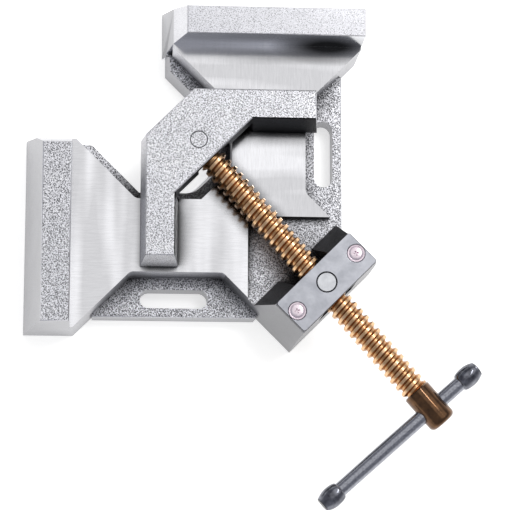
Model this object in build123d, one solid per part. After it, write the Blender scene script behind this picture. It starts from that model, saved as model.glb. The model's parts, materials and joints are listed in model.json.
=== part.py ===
from build123d import *

import math
import os

os.makedirs("parts", exist_ok=True)

# Corner clamp. A cast frame carries two fixed jaws at 90 degrees; a spindle in a swivelling nut pushes an
# L-shaped moving jaw into the corner, and a sliding bar through the spindle's head turns it.
# Millimetres. The origin is the corner where the two fixed clamping planes meet, on the underside.
# +X runs along one fixed jaw, -Y along the other, +Z is up. The frame is symmetric about the plane x = -y,
# so its outlines are written for the +X half as distances along the jaw and away from the jaw.

# Heights above the underside
EAR_HEIGHT = 15
FLOOR_HEIGHT = 37
WEB_DROP = 5
JAW_DEPTH = 25
SPINDLE_ABOVE_FLOOR = 12

# Fixed jaws: distances along the jaw from the corner, and widths across it
NEAR_END_BASE = 52.5
NEAR_END_FLOOR = 58.4
NEAR_END_TOP = 65.5
FAR_END = 169.5
JAW_TOP_WIDTH = 16.5
JAW_BASE_WIDTH = 27.8

# Ground floor pads: a diagonal is the sum or difference of the distances along and away
NEAR_DIAGONAL = 56.1
NOTCH_EDGE = 93.2
NOTCH_CORNER = 168.6
WEB_EDGE = 102.7
PAD_EDGE = 136.4
FAR_DIAGONAL = 171
PAD_RADIUS = 4.5

# Flange round the open corner, and the ears with their slots
FLANGE_END = 54.5
FLANGE_SIDE_WIDTH = 9.3
FLANGE_CORNER_WIDTH = 10.8
FLANGE_RADIUS = 10
EAR_TOP = 12.5
EAR_BOTTOM = 108
EAR_CORNER = 11
EAR_RIM = 5.5
SLOT_LENGTH = 40
SLOT_WIDTH = 11
SLOT_ALONG = 149
SLOT_AWAY = 60.5

# Ribbed underside of the casting
WALL = 5.5
SKIN = 6
RIB = 4.5
RIB_PITCH = 27
JAW_SKIN = 11
SMALLEST_POCKET = 1500

# Spine and lug, measured along the frame's diagonal and to each side of it
SPINE_HALF = 34
LUG_SIDE_SLOPE = 4.5
LUG_FRONT_SLOPE = 10
PIVOT_ALONG = 145.8

# Cover plate, as long as the lug's top, and its screws
PLATE_WIDTH = 23
PLATE_THICKNESS = 5
PLATE_RADIUS = 1.7
SCREW_FROM_END = 5.7
SCREW_DIAMETER = 5
SCREW_LENGTH = 16
SCREW_HEAD_DIAMETER = 10.3
SCREW_EDGE = 0.6

# Spindle and its nut
THREAD_DIAMETER = 16
THREAD_CHAMFER = 1.4
THREAD_RELIEF = 1.5
HEAD_DIAMETER = 17
HEAD_LENGTH = 24.3
HEAD_CHAMFER = 2
HEAD_EDGE = 0.7
HEAD_START = 79.7
BAR_HOLE_FROM_HEAD_END = 10.8
NUT_HALF_LENGTH = 9.5
NUT_HALF_WIDTH = 12.5
NUT_ROOF = 4
NUT_RADIUS = 2.5
TRUNNION_DIAMETER = 11
LOWER_TRUNNION_LENGTH = 10

# Rest pose: the nut's turn away from the diagonal, its limit, and how far the jaw stands from the nut
SWIVEL = 3.5
SWIVEL_LIMIT = 4.5
PIN_TO_PIVOT = 110.4

# Moving jaw
ARM_LENGTH = 98
ARM_WIDTH = 17
OUTER_CHAMFER = 27.5
INNER_CORNER = 61
JAW_FLARE = 2.6
PIN_FROM_CORNER = 30.2
CAVITY_SPARE_ANGLE = 1.5
JAW_ROOF = 4
JAW_FLOOR = 2.7

# Jaw pivot: two short pins, a thrust block between them and the spindle's neck inside the block
JAW_PIN_DIAMETER = 10
PIN_SEAT_DEPTH = 3.6
BLOCK_RADIUS = 11
BLOCK_REAR = 10
NECK_DIAMETER = 9
NECK_PAST_CENTRE = 5.5
GROOVE_DEPTH = 1.2
GROOVE_FROM_CENTRE = 6
LOCK_PIN_DIAMETER = 3
WASHER_DIAMETER = 15.5
WASHER_THICKNESS = 1.5

# Sliding bar and its knobs
BAR_DIAMETER = 8.6
BAR_LONG_SIDE = 84
BAR_SHORT_SIDE = 35.3
KNOB_LENGTH = 14
KNOB_NECK_DIAMETER = 9.3
KNOB_DIAMETER = 12.5
KNOB_END_DIAMETER = 9.4
KNOB_WIDEST = 5.5
KNOB_BORE_DEPTH = 10

# Clearances
RUNNING = 0.05
BAR_PLAY = 0.1
PRESSED = 0.02
SLIDE_GAP = 0.3
END_GAP = 0.2
SIDE_GAP = 0.4
EDGE_BREAK = 0.6
FINE_EDGE = 0.3

# Sizes that follow from the ones above
ROOT_TWO = math.sqrt(2)
WEB_HEIGHT = FLOOR_HEIGHT - WEB_DROP
JAW_HEIGHT = FLOOR_HEIGHT + JAW_DEPTH
SPINDLE_HEIGHT = FLOOR_HEIGHT + SPINDLE_ABOVE_FLOOR
LUG_HEIGHT = SPINDLE_HEIGHT + THREAD_DIAMETER / 2 + NUT_ROOF
PLATE_TOP = LUG_HEIGHT + PLATE_THICKNESS
EAR_EDGE = SLOT_ALONG + SLOT_WIDTH / 2 + EAR_RIM
LUG_TOP_HALF = SPINE_HALF - LUG_SIDE_SLOPE
PLATE_LENGTH = 2 * LUG_TOP_HALF
SCREW_SPREAD = LUG_TOP_HALF - SCREW_FROM_END
PIVOT_U = PIVOT_ALONG * ROOT_TWO
LUG_FRONT = PIVOT_U - PLATE_WIDTH / 2
LUG_BACK = PIVOT_U + PLATE_WIDTH / 2
LIMIT = math.radians(SWIVEL_LIMIT)
NUT_SWING = NUT_HALF_WIDTH * math.cos(LIMIT) + NUT_HALF_LENGTH * math.sin(LIMIT)
WINDOW_HALF = NUT_SWING + SIDE_GAP
SHOULDER = BLOCK_REAR + WASHER_THICKNESS + 2 * RUNNING
HEAD_END = HEAD_START + HEAD_LENGTH
BAR_HOLE = HEAD_END - BAR_HOLE_FROM_HEAD_END
JAW_BASE = FLOOR_HEIGHT + SLIDE_GAP
CAVITY_FLOOR = JAW_BASE + JAW_FLOOR
CAVITY_ROOF = JAW_HEIGHT - JAW_ROOF
BLOCK_BASE = CAVITY_FLOOR + SLIDE_GAP
BLOCK_TOP = CAVITY_ROOF - SLIDE_GAP

# Places: the nut's pivot, the spindle's axis and the moving jaw's pin
DIAGONAL = Plane(origin=(0, 0, 0), z_dir=(1, 1, 0))
TO_FRAME_AXES = Rot(0, 0, -45)
SPINDLE_ANGLE = -45 - SWIVEL
SPINDLE_RAD = math.radians(SPINDLE_ANGLE)
PIN_X = PIVOT_ALONG - PIN_TO_PIVOT * math.cos(SPINDLE_RAD)
PIN_Y = -PIVOT_ALONG - PIN_TO_PIVOT * math.sin(SPINDLE_RAD)
AT_PIVOT = Location((PIVOT_ALONG, -PIVOT_ALONG, 0), (0, 0, SPINDLE_ANGLE))
AT_PIN = Location((PIN_X, PIN_Y, 0), (0, 0, SPINDLE_ANGLE))
AT_JAW_DIAGONAL = Location((PIN_X, PIN_Y, 0), (0, 0, -45))
ON_AXIS = Location((0, 0, SPINDLE_HEIGHT))


def both_halves(half):
    """The whole outline from the points (along, away) of its +X half, in order from the notch outwards."""
    near = [(along, -away) for along, away in half]
    return near + [(-y, -x) for x, y in reversed(near)]


def along_diagonal(u, v):
    """A point (along, away) of the +X half from its place along the diagonal and to the side of it."""
    return (u + v) / ROOT_TWO, (u - v) / ROOT_TWO


def slab(points, bottom, top):
    """A vertical prism over an outline."""
    face = make_face(Polyline(*points, close=True))
    return extrude(Pos(0, 0, bottom) * face, top - bottom, dir=(0, 0, 1))


def post(radius, bottom, top):
    """A vertical cylinder on the local origin."""
    return Pos(0, 0, bottom) * Cylinder(radius, top - bottom, align=(Align.CENTER, Align.CENTER, Align.MIN))


def block(low, high):
    """A box from its lowest to its highest corner."""
    size = [b - a for a, b in zip(low, high)]
    return Pos(*low) * Box(*size, align=(Align.MIN, Align.MIN, Align.MIN))


def lengthways(section, length):
    """A prism along local X from a section given as points (y, z)."""
    return extrude(make_face(Plane.YZ * Polyline(*section, close=True)), length, dir=(1, 0, 0))


def sideways(profile, half_width):
    """A prism along local Y, to both sides of it, from a profile given as points (x, z)."""
    return extrude(make_face(Plane.XZ * Polyline(*profile, close=True)), half_width, both=True)


def turned(outline):
    """A solid of revolution about local X from points (x, radius)."""
    return revolve(make_face(Polyline(*outline, close=True)), Axis.X)


def round_corners(solid, places, radius):
    """Round the vertical edges that stand at the given points."""
    def stands_there(edge):
        middle = edge.center()
        return any(math.hypot(middle.X - x, middle.Y - y) < RUNNING for x, y in places)

    edges = [edge for edge in solid.edges().filter_by(Axis.Z) if stands_there(edge)]
    return fillet(edges, radius)


# Outlines of the frame
UNDER_JAW = -EDGE_BREAK
SPINE_OFFSET = SPINE_HALF * ROOT_TWO
WALL_OUTLINE = [
    (NOTCH_EDGE, NOTCH_CORNER - NOTCH_EDGE),
    (NOTCH_EDGE, NOTCH_EDGE - NEAR_DIAGONAL),
    (NEAR_END_FLOOR, NEAR_END_FLOOR - NEAR_DIAGONAL),
    (NEAR_END_FLOOR, UNDER_JAW),
    (FAR_END, UNDER_JAW),
    (FAR_END, FAR_DIAGONAL - FAR_END),
    (PAD_EDGE, FAR_DIAGONAL - PAD_EDGE),
    (PAD_EDGE, PAD_EDGE - SPINE_OFFSET),
    along_diagonal(LUG_BACK, SPINE_HALF),
]
PAD_CORNERS = [WALL_OUTLINE[1], WALL_OUTLINE[6], WALL_OUTLINE[7]]


def flange():
    """The low ledge that runs round the open corner, under the pads' inner edges."""
    edge = NOTCH_EDGE - FLANGE_CORNER_WIDTH
    corner = NOTCH_CORNER - FLANGE_CORNER_WIDTH * ROOT_TWO
    side = NEAR_DIAGONAL - FLANGE_SIDE_WIDTH * ROOT_TWO
    inside = NOTCH_EDGE + WALL
    outline = [
        (edge, corner - edge),
        (edge, edge - side),
        (FLANGE_END, FLANGE_END - side),
        (FLANGE_END, UNDER_JAW),
        (inside, UNDER_JAW),
        (inside, inside - WALL),
    ]
    return round_corners(slab(both_halves(outline), 0, EAR_HEIGHT), both_halves(outline[:1]), FLANGE_RADIUS)


def ear():
    """The +X half's mounting ear with its slot."""
    inside = PAD_EDGE - WALL
    outline = [
        (EAR_EDGE, EAR_TOP),
        (EAR_EDGE, EAR_BOTTOM),
        (EAR_EDGE - EAR_CORNER, EAR_BOTTOM + EAR_CORNER),
        (inside, EAR_BOTTOM),
        (inside, FAR_DIAGONAL - inside),
        (EAR_EDGE - WALL, EAR_TOP),
    ]
    plate = slab([(along, -away) for along, away in outline], 0, EAR_HEIGHT)
    plate = chamfer(plate.edges().filter_by(Axis.Y).group_by(Axis.X)[-1].group_by(Axis.Z)[-1], EDGE_BREAK)
    slot = extrude(SlotOverall(SLOT_LENGTH, SLOT_WIDTH, rotation=90), EAR_HEIGHT)
    return plate - Pos(SLOT_ALONG, -SLOT_AWAY, 0) * slot


def jaw_section(setback, height):
    """A jaw's cross-section, seen along it, with all of its walls set back by the same amount."""
    lean = (JAW_BASE_WIDTH - JAW_TOP_WIDTH) / JAW_HEIGHT
    outer_top = JAW_TOP_WIDTH + lean * (JAW_HEIGHT - height)
    return [
        (setback, 0),
        (setback, height),
        (outer_top - setback, height),
        (JAW_BASE_WIDTH - setback, 0),
    ]


def fixed_jaw():
    """The +X half's fixed jaw: upright clamping face, leaning back, drafted near end, broken top edges."""
    side = [
        (NEAR_END_BASE, 0),
        (NEAR_END_FLOOR, FLOOR_HEIGHT),
        (NEAR_END_TOP, JAW_HEIGHT),
        (FAR_END, JAW_HEIGHT),
        (FAR_END, 0),
    ]
    jaw = lengthways(jaw_section(0, JAW_HEIGHT), FAR_END) & sideways(side, JAW_BASE_WIDTH)
    return chamfer(jaw.faces().sort_by(Axis.Z)[-1].edges(), EDGE_BREAK)


def ribs():
    """The grid of ribs that crosses the underside, symmetric about the diagonal."""
    grid = None
    reach = FAR_END + JAW_BASE_WIDTH
    place = NEAR_END_FLOOR + WALL + RIB_PITCH - RIB
    while place < FAR_END - WALL - RIB:
        bar = block((place, -reach, 0), (place + RIB, reach, JAW_HEIGHT))
        grid = bar if grid is None else grid + bar
        grid += mirror(bar, about=DIAGONAL)
        place += RIB_PITCH
    return grid


def worth_coring(solid):
    """The pockets of a cored region that are big enough to cast."""
    return [pocket for pocket in solid.solids() if pocket.volume > SMALLEST_POCKET]


def underside_pockets():
    """The hollow between the walls, the skin and the ribs, open below, shallower under the recessed web."""
    outline = make_face(Polyline(*both_halves(WALL_OUTLINE), close=True))
    inner = offset(outline, -WALL, kind=Kind.INTERSECTION)
    reach = FAR_END + SPINE_OFFSET
    deep = extrude(inner, FLOOR_HEIGHT - SKIN)
    web_edge = WEB_EDGE - SKIN
    over_web = block((web_edge, -reach, WEB_HEIGHT - SKIN), (reach, -web_edge, FLOOR_HEIGHT))
    lug_zone = TO_FRAME_AXES * block(
        (LUG_FRONT - LUG_FRONT_SLOPE - WALL, -SPINE_OFFSET, 0), (LUG_BACK, SPINE_OFFSET, FLOOR_HEIGHT)
    )
    return worth_coring(deep - over_web - lug_zone - ribs())


def jaw_pockets():
    """The cores under the +X half's fixed jaw, between the same ribs."""
    core = lengthways(jaw_section(WALL, JAW_HEIGHT - JAW_SKIN), FAR_END - WALL)
    core -= block((0, 0, 0), (NEAR_END_TOP + WALL, JAW_BASE_WIDTH, JAW_HEIGHT))
    return worth_coring(core - ribs())


def lug():
    """The raised lug at the end of the spine, with the window for the nut and the spindle."""
    side = [
        (LUG_FRONT - LUG_FRONT_SLOPE, 0),
        (LUG_FRONT - LUG_FRONT_SLOPE, WEB_HEIGHT),
        (LUG_FRONT, LUG_HEIGHT),
        (LUG_BACK, LUG_HEIGHT),
        (LUG_BACK, 0),
    ]
    front = [
        (-SPINE_HALF, 0),
        (-SPINE_HALF, WEB_HEIGHT),
        (-LUG_TOP_HALF, LUG_HEIGHT),
        (LUG_TOP_HALF, LUG_HEIGHT),
        (SPINE_HALF, WEB_HEIGHT),
        (SPINE_HALF, 0),
    ]
    body = sideways(side, SPINE_HALF) & lengthways(front, LUG_BACK)
    body -= block((0, -WINDOW_HALF, WEB_HEIGHT), (LUG_BACK + WALL, WINDOW_HALF, JAW_HEIGHT))
    return TO_FRAME_AXES * body


def lug_holes():
    """The nut's lower bearing and the two tapped holes for the cover screws."""
    bearing_depth = LOWER_TRUNNION_LENGTH + END_GAP
    holes = post(TRUNNION_DIAMETER / 2 + RUNNING, WEB_HEIGHT - bearing_depth, WEB_HEIGHT)
    depth = SCREW_LENGTH - PLATE_THICKNESS + SCREW_DIAMETER / 2
    for side in (-1, 1):
        tapped = post(SCREW_DIAMETER / 2 + PRESSED, LUG_HEIGHT - depth, LUG_HEIGHT)
        holes += Pos(0, side * SCREW_SPREAD, 0) * tapped
    return TO_FRAME_AXES * Pos(PIVOT_U, 0, 0) * holes


def base_frame():
    """The whole casting."""
    walls = slab(both_halves(WALL_OUTLINE), 0, FLOOR_HEIGHT)
    corners = both_halves(PAD_CORNERS)
    walls = round_corners(walls, corners, PAD_RADIUS)
    reach = FAR_END + SPINE_OFFSET
    walls -= block((WEB_EDGE, -reach, WEB_HEIGHT), (reach, -WEB_EDGE, JAW_HEIGHT))
    frame = walls + flange() + lug()
    for piece in (ear(), fixed_jaw()):
        frame += piece
        frame += mirror(piece, about=DIAGONAL)
    for pocket in underside_pockets():
        frame -= pocket
    for pocket in jaw_pockets():
        frame -= pocket
        frame -= mirror(pocket, about=DIAGONAL)
    return frame - lug_holes()


def cover_plate():
    """The flat plate on the lug, with the trunnion's bearing hole and two countersunk screw holes."""
    half_width = PLATE_WIDTH / 2
    half_length = PLATE_LENGTH / 2
    plate = block((-half_width, -half_length, LUG_HEIGHT), (half_width, half_length, PLATE_TOP))
    plate = fillet(plate.edges().filter_by(Axis.Z), PLATE_RADIUS)
    plate = chamfer(plate.faces().sort_by(Axis.Z)[-1].edges(), FINE_EDGE)
    plate -= post(TRUNNION_DIAMETER / 2 + RUNNING, LUG_HEIGHT, PLATE_TOP)
    plate -= rim_cut(TRUNNION_DIAMETER / 2 + RUNNING, PLATE_TOP)
    for side in (-1, 1):
        plate -= Pos(0, side * SCREW_SPREAD, 0) * screw_shape(RUNNING)
    return TO_FRAME_AXES * Pos(PIVOT_U, 0, 0) * plate


def rim_cut(radius, top):
    """The broken edge round a hole's mouth."""
    cone = Cone(radius, radius + EDGE_BREAK, EDGE_BREAK, align=(Align.CENTER, Align.CENTER, Align.MAX))
    return Pos(0, 0, top) * cone


def screw_shape(gap=0):
    """A countersunk cover screw, or with a gap the hole that it needs in the plate."""
    head = SCREW_HEAD_DIAMETER / 2 + gap
    shank = SCREW_DIAMETER / 2 + gap
    rim = PLATE_TOP - SCREW_EDGE
    neck = rim - (head - shank)
    tip = PLATE_TOP - SCREW_LENGTH
    half = [(0, tip), (shank, tip), (shank, neck), (head, rim), (head, PLATE_TOP), (0, PLATE_TOP)]
    return revolve(make_face(Plane.XZ * Polyline(*half, close=True)), Axis.Z)


def cover_screw(side):
    """One cover screw, flush with the plate."""
    return TO_FRAME_AXES * Pos(PIVOT_U, side * SCREW_SPREAD, 0) * screw_shape()


def spindle_nut():
    """The swivelling nut: a block with a trunnion above and one below, bored across for the spindle."""
    bottom = WEB_HEIGHT + END_GAP
    top = LUG_HEIGHT - END_GAP
    body = block((-NUT_HALF_LENGTH, -NUT_HALF_WIDTH, bottom), (NUT_HALF_LENGTH, NUT_HALF_WIDTH, top))
    body = fillet(body.edges().filter_by(Axis.Z), NUT_RADIUS)
    body += post(TRUNNION_DIAMETER / 2, WEB_HEIGHT - LOWER_TRUNNION_LENGTH, PLATE_TOP)
    body = chamfer(body.faces().sort_by(Axis.Z)[-1].edges(), FINE_EDGE)
    bore = ON_AXIS * Rot(0, 90, 0) * Cylinder(THREAD_DIAMETER / 2 + RUNNING, 2 * PLATE_WIDTH)
    return AT_PIVOT * (body - bore)


def spindle():
    """The spindle from its grooved neck in the thrust block to the drilled head, over the thread's crests."""
    neck = NECK_DIAMETER / 2
    crest = THREAD_DIAMETER / 2
    head = HEAD_DIAMETER / 2
    groove_half = LOCK_PIN_DIAMETER / 2 + 2 * RUNNING
    groove = neck - GROOVE_DEPTH
    thread_start = SHOULDER
    thread_end = PIN_TO_PIVOT + HEAD_START
    end = PIN_TO_PIVOT + HEAD_END
    outline = [
        (-NECK_PAST_CENTRE, 0),
        (-NECK_PAST_CENTRE, neck),
        (GROOVE_FROM_CENTRE - groove_half, neck),
        (GROOVE_FROM_CENTRE - groove_half, groove),
        (GROOVE_FROM_CENTRE + groove_half, groove),
        (GROOVE_FROM_CENTRE + groove_half, neck),
        (SHOULDER, neck),
        (thread_start, crest - THREAD_CHAMFER),
        (thread_start + THREAD_CHAMFER, crest),
        (thread_end - THREAD_RELIEF, crest),
        (thread_end - THREAD_RELIEF, crest - THREAD_CHAMFER),
        (thread_end, crest - THREAD_CHAMFER),
        (thread_end, head - HEAD_EDGE),
        (thread_end + HEAD_EDGE, head),
        (end - HEAD_CHAMFER, head),
        (end, head - HEAD_CHAMFER),
        (end, 0),
    ]
    body = turned(outline)
    bar_hole = Rot(90, 0, 0) * Cylinder(BAR_DIAMETER / 2 + BAR_PLAY, 2 * HEAD_DIAMETER)
    body -= Pos(PIN_TO_PIVOT + BAR_HOLE, 0, 0) * bar_hole
    return AT_PIN * ON_AXIS * body


def thrust_washer():
    """The washer between the thrust block and the spindle's shoulder."""
    start = BLOCK_REAR + RUNNING
    bore = NECK_DIAMETER / 2 + RUNNING
    ring = [
        (start, bore),
        (start, WASHER_DIAMETER / 2),
        (start + WASHER_THICKNESS, WASHER_DIAMETER / 2),
        (start + WASHER_THICKNESS, bore),
    ]
    return AT_PIN * ON_AXIS * turned(ring)


def lock_pin(side, gap=0):
    """One roll pin beside the spindle's neck, or with a gap the hole that it is driven into."""
    away = NECK_DIAMETER / 2 - GROOVE_DEPTH + RUNNING + LOCK_PIN_DIAMETER / 2
    pin = post(LOCK_PIN_DIAMETER / 2 + gap, BLOCK_BASE, BLOCK_TOP)
    return AT_PIN * Pos(GROOVE_FROM_CENTRE, side * away, 0) * pin


def thrust_block():
    """The block that turns between the jaw pins, round in front and flat behind, holding the neck."""
    body = post(BLOCK_RADIUS, BLOCK_BASE, BLOCK_TOP)
    body -= block((0, -BLOCK_RADIUS, BLOCK_BASE), (BLOCK_RADIUS, BLOCK_RADIUS, BLOCK_TOP))
    body += block((0, -BLOCK_RADIUS, BLOCK_BASE), (BLOCK_REAR, BLOCK_RADIUS, BLOCK_TOP))
    seat = JAW_PIN_DIAMETER / 2 + RUNNING
    body -= post(seat, BLOCK_TOP - PIN_SEAT_DEPTH - END_GAP, BLOCK_TOP)
    body -= post(seat, BLOCK_BASE, BLOCK_BASE + PIN_SEAT_DEPTH + END_GAP)
    neck_end = -NECK_PAST_CENTRE - END_GAP
    bore = [
        (neck_end, 0),
        (neck_end, NECK_DIAMETER / 2 + RUNNING),
        (SHOULDER, NECK_DIAMETER / 2 + RUNNING),
        (SHOULDER, 0),
    ]
    body = AT_PIN * (body - ON_AXIS * turned(bore))
    for side in (-1, 1):
        body -= lock_pin(side, PRESSED)
    return body


def jaw_cavity():
    """The pocket in the moving jaw's rear that holds the thrust block, flared so that it can swing."""
    clear = BLOCK_RADIUS + SLIDE_GAP
    mouth = 2 * BLOCK_RADIUS
    mouth_half = clear + mouth * math.tan(math.radians(SWIVEL_LIMIT + CAVITY_SPARE_ANGLE))
    flare = [(0, -clear), (mouth, -mouth_half), (mouth, mouth_half), (0, clear)]
    return post(clear, CAVITY_FLOOR, CAVITY_ROOF) + slab(flare, CAVITY_FLOOR, CAVITY_ROOF)


def moving_jaw():
    """The L-shaped jaw with its chamfered outer corner, drafted down to a wider foot."""
    corner_x = PIN_X - PIN_FROM_CORNER
    corner_y = PIN_Y + PIN_FROM_CORNER
    half = [
        (OUTER_CHAMFER, 0),
        (ARM_LENGTH, 0),
        (ARM_LENGTH, ARM_WIDTH),
        (INNER_CORNER, ARM_WIDTH),
    ]
    height = JAW_HEIGHT - JAW_BASE
    top = Pos(corner_x, corner_y, JAW_HEIGHT) * make_face(Polyline(*both_halves(half), close=True))
    draft = math.degrees(math.atan(JAW_FLARE / height))
    jaw = extrude(top, height, dir=(0, 0, -1), taper=-draft)
    jaw = chamfer(jaw.faces().sort_by(Axis.Z)[-1].edges(), EDGE_BREAK)
    jaw -= AT_JAW_DIAGONAL * jaw_cavity()
    return jaw - Pos(PIN_X, PIN_Y, 0) * post(JAW_PIN_DIAMETER / 2 + PRESSED, JAW_BASE, JAW_HEIGHT)


def jaw_pin(bottom, top):
    """One of the two short pins that the moving jaw turns on."""
    return Pos(PIN_X, PIN_Y, 0) * post(JAW_PIN_DIAMETER / 2, bottom, top)


def bar_frame(x):
    """A place on the bar's axis, which crosses the spindle's head level with the ground."""
    return AT_PIN * ON_AXIS * Pos(PIN_TO_PIVOT + BAR_HOLE, x, 0) * Rot(0, 0, 90)


def handle_bar():
    """The plain round bar, ending inside the knobs."""
    start = KNOB_LENGTH - KNOB_BORE_DEPTH - BAR_LONG_SIDE
    end = BAR_SHORT_SIDE - KNOB_LENGTH + KNOB_BORE_DEPTH
    radius = BAR_DIAMETER / 2
    return bar_frame(0) * turned([(start, 0), (start, radius), (end, radius), (end, 0)])


def handle_knob(place, direction):
    """A barrel-shaped knob that swells from its neck and tapers to its end, bored for the bar."""
    outline = [
        (0, KNOB_NECK_DIAMETER / 2),
        (KNOB_WIDEST, KNOB_DIAMETER / 2),
        (KNOB_LENGTH, KNOB_END_DIAMETER / 2),
        (KNOB_LENGTH, 0),
        (0, 0),
    ]
    knob = turned(outline)
    depth = KNOB_BORE_DEPTH + END_GAP
    bore = BAR_DIAMETER / 2 + PRESSED
    knob -= turned([(0, 0), (0, bore), (depth, bore), (depth, 0)])
    return bar_frame(place) * Rot(0, 0, 0 if direction > 0 else 180) * knob


PARTS = {
    "base_frame": base_frame(),
    "nut_cover_plate": cover_plate(),
    "cover_screw_left": cover_screw(-1),
    "cover_screw_right": cover_screw(1),
    "spindle_nut": spindle_nut(),
    "spindle": spindle(),
    "thrust_washer": thrust_washer(),
    "thrust_block": thrust_block(),
    "lock_pin_left": lock_pin(-1),
    "lock_pin_right": lock_pin(1),
    "moving_jaw": moving_jaw(),
    "jaw_pin_upper": jaw_pin(BLOCK_TOP - PIN_SEAT_DEPTH, JAW_HEIGHT),
    "jaw_pin_lower": jaw_pin(JAW_BASE, BLOCK_BASE + PIN_SEAT_DEPTH),
    "handle_bar": handle_bar(),
    "handle_knob_left": handle_knob(KNOB_LENGTH - BAR_LONG_SIDE, -1),
    "handle_knob_right": handle_knob(BAR_SHORT_SIDE - KNOB_LENGTH, 1),
}

for name, piece in PARTS.items():
    piece.label = name
    export_step(piece, f"parts/{name}.step")
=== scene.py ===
"""The looks of a corner clamp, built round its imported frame. Metres, in the part's own frame, +Z up."""

import json
import math

import bmesh
import bpy
from mathutils import Euler, Matrix, Vector


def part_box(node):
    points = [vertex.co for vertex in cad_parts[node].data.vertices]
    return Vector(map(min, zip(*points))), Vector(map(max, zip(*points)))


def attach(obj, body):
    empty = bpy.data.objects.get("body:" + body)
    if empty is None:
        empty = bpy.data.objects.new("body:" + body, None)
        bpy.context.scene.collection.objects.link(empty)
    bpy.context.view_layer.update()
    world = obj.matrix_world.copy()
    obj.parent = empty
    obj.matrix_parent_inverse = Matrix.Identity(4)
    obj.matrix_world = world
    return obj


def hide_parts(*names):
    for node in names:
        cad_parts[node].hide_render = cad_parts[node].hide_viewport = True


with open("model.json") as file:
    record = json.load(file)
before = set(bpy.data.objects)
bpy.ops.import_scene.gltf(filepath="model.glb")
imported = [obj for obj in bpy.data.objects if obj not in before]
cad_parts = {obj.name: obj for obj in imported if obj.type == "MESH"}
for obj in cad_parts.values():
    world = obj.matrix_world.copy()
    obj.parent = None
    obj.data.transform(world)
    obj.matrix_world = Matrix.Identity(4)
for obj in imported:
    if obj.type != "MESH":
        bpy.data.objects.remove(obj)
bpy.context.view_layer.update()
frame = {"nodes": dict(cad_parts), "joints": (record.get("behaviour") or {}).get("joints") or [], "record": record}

MM = 0.001
NODES = frame["nodes"]
JOINTS = {joint["name"]: joint for joint in frame["joints"]}

# Camera: nearly straight down on the clamp, leaning a little towards the open corner
VIEW_AIM = Vector((106.8, -125.8, 37.1)) * MM
VIEW_ANGLES = [math.radians(angle) for angle in (9.89, -4.01, 0.14)]
VIEW_DISTANCE = 1318.6 * MM
VIEW_LENS = 160.1

# Heights of the top faces, read from the frame
MOUNTS = {mount["name"]: mount for mount in frame["record"]["mounts"]}
FLOOR_TOP = MOUNTS["work_floor_x"]["pos_m"][2]
JAW_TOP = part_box("base_frame")[1].z
PLATE_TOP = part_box("nut_cover_plate")[1].z

# Edge rounding of the castings: plain edges, edges of one ground face, and the crease between two
CAST_ROUNDING = 0.7 * MM
GROUND_ROUNDING = 0.35 * MM
CREASE_ROUNDING = 0.6 * MM
ROUNDED_FROM = math.radians(50)
ROUNDING_STEPS = 2
SHARP_FROM = math.radians(34)
FLAT_WITHIN = math.radians(1)
SAME_POINT = 0.002 * MM

# How far a face's normal must point one way to count as square, sloped or rearward, and how little to count
# as upright; how near counts as at a height, and how far below the jaws' highest point their tops may lie
SQUARE = 0.99
SLOPED = 0.9
REARWARD = 0.6
UPRIGHT = 0.01
NEAR = 0.1 * MM
TOP_DROP = 2 * MM

# Where the lug stands: from here along the diagonal, this far to each side, and above this height
LUG_START = 175 * MM
LUG_REACH = 66 * MM
LUG_FOOT = 20 * MM

# The frame's flange at the notch: it stands above this ledge, ends this far along and leans this much
LOW_LEDGE = 10 * MM
FLANGE_TOP = 16 * MM
NOTCH_REACH = 83 * MM
FLANGE_DRAFT = 3 * MM

# The hollow under the moving jaw's rear edge
JAW_REAR = 12.4 * MM
RELIEF_DEPTH = 5.2 * MM
RELIEF_PAST = 12 * MM
RELIEF_WIDTH = 62 * MM
RELIEF_BOTTOM = 30 * MM
RELIEF_TOP = 52 * MM

# The cast skin: grains, pits and clouds per metre, how dark a pit and a cloud are, how dark the painted shade in a
# hollow is, and its tint
GRAINS_PER_METRE = 1900
PITS_PER_METRE = 1150
CLOUDS_PER_METRE = 60
PIT_TONE = 0.06
HOLLOW_SHADE_TONE = 0.04
CLOUD_TONE = 0.93
PAINT_TINT = (1.0, 1.0, 1.04)

# Ground faces: lines and bands per metre, how far each is drawn out, and the lines' depth
LINES_PER_METRE = 1500
BANDS_PER_METRE = 90
LINE_STRETCH = 0.09
BAND_STRETCH = 0.12
LINE_DEPTH = 0.006 * MM

# Depth of the streaks on turned and drawn pieces
STREAK_DEPTH = 0.004 * MM

# Painted dark reflections by the fixed jaw along X: middle and radii in mm, then tone; one at the wall's far end,
# one along the pad's edge
DARK_REFLECTION_CORE = 0.3
DARK_REFLECTIONS = [((150, 1, 39), (36, 13, 24), 0.09), ((112, -6.5, 37), (62, 5.5, 7), 0.62)]

# Shade on the pads under the spindle and the moving jaw: how far up it looks, how dark, and from where
SHADE_REACH = 13 * MM
SHADE_RAMP = [(0.55, 0.02), (0.92, 1.0)]
SHADE_FROM = (34 * MM, 46 * MM)

# Spindle thread and head
THREAD_PITCH = 5 * MM
THREAD_DEPTH = 2.1 * MM
THREAD_STEPS = 64
CREST_SHARE = 0.34
ROOT_SHARE = 0.24
THREAD_RUN_IN = 1.7
HEAD_LENGTH = 24.3 * MM
HEAD_ROUNDING = 3 * MM
HEAD_EDGE = 0.7 * MM
CREST_RADIUS = 8 * MM
NECK_RADIUS = 4.5 * MM
SHOULDER = 11.6 * MM
BAR_HOLE_RADIUS = 4.4 * MM
BAR_HOLE_FROM_END = 10.8 * MM
ROUND_STEPS = 96

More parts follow.
